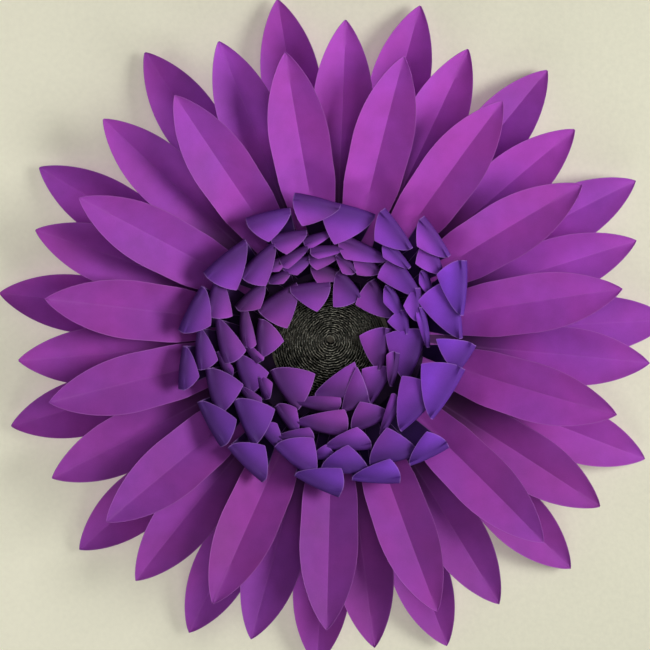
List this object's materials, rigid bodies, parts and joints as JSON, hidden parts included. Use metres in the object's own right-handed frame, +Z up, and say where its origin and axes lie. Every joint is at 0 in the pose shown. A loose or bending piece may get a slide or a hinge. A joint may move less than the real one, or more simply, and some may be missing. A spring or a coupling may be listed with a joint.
{
  "type": "giant paper flower",
  "caption": "Wall-hung flower of folded card: rings of long creased petals around small curled petals and a rolled black paper centre.",
  "frame": {"origin": "centre of the backing disc's flat back face, where the flower lies on the wall", "axes": "+Z up, -Y towards the viewer, +X to the viewer's right; the wall is the plane Y = 0"},
  "size_m": [0.6071, 0.0796, 0.6055],
  "materials": {
    "large_petal_card": "matte",
    "small_petal_card": "matte",
    "black_paper": "matte",
    "backing_board": "matte"
  },
  "bodies": {
    "root": {"backing_disc": "backing_board", "petal_back_01": "large_petal_card", "petal_back_02": "large_petal_card", "petal_back_03": "large_petal_card", "petal_back_04": "large_petal_card", "petal_back_05": "large_petal_card", "petal_back_06": "large_petal_card", "petal_back_07": "large_petal_card", "petal_back_08": "large_petal_card", "petal_back_09": "large_petal_card", "petal_back_10": "large_petal_card", "petal_back_11": "large_petal_card", "petal_back_12": "large_petal_card", "petal_back_13": "large_petal_card", "petal_back_14": "large_petal_card", "petal_back_15": "large_petal_card", "petal_middle_01": "large_petal_card", "petal_middle_02": "large_petal_card", "petal_middle_03": "large_petal_card", "petal_middle_04": "large_petal_card", "petal_middle_05": "large_petal_card", "petal_middle_06": "large_petal_card", "petal_middle_07": "large_petal_card", "petal_middle_08": "large_petal_card", "petal_middle_09": "large_petal_card", "petal_middle_10": "large_petal_card", "petal_middle_11": "large_petal_card", "petal_middle_12": "large_petal_card", "petal_middle_13": "large_petal_card", "petal_middle_14": "large_petal_card", "petal_middle_15": "large_petal_card", "petal_front_01": "large_petal_card", "petal_front_02": "large_petal_card", "petal_front_03": "large_petal_card", "petal_front_04": "large_petal_card", "petal_front_05": "large_petal_card", "petal_front_06": "large_petal_card", "petal_front_07": "large_petal_card", "petal_front_08": "large_petal_card", "petal_front_09": "large_petal_card", "petal_front_10": "large_petal_card", "petal_front_11": "large_petal_card", "petal_front_12": "large_petal_card", "petal_front_13": "large_petal_card", "petal_front_14": "large_petal_card", "petal_front_15": "large_petal_card", "small_petals_1": "small_petal_card", "small_petals_2": "small_petal_card", "small_petals_3": "small_petal_card", "small_petals_4": "small_petal_card", "small_petals_5": "small_petal_card", "rolled_centre": "black_paper"}
  },
  "joints": []
}
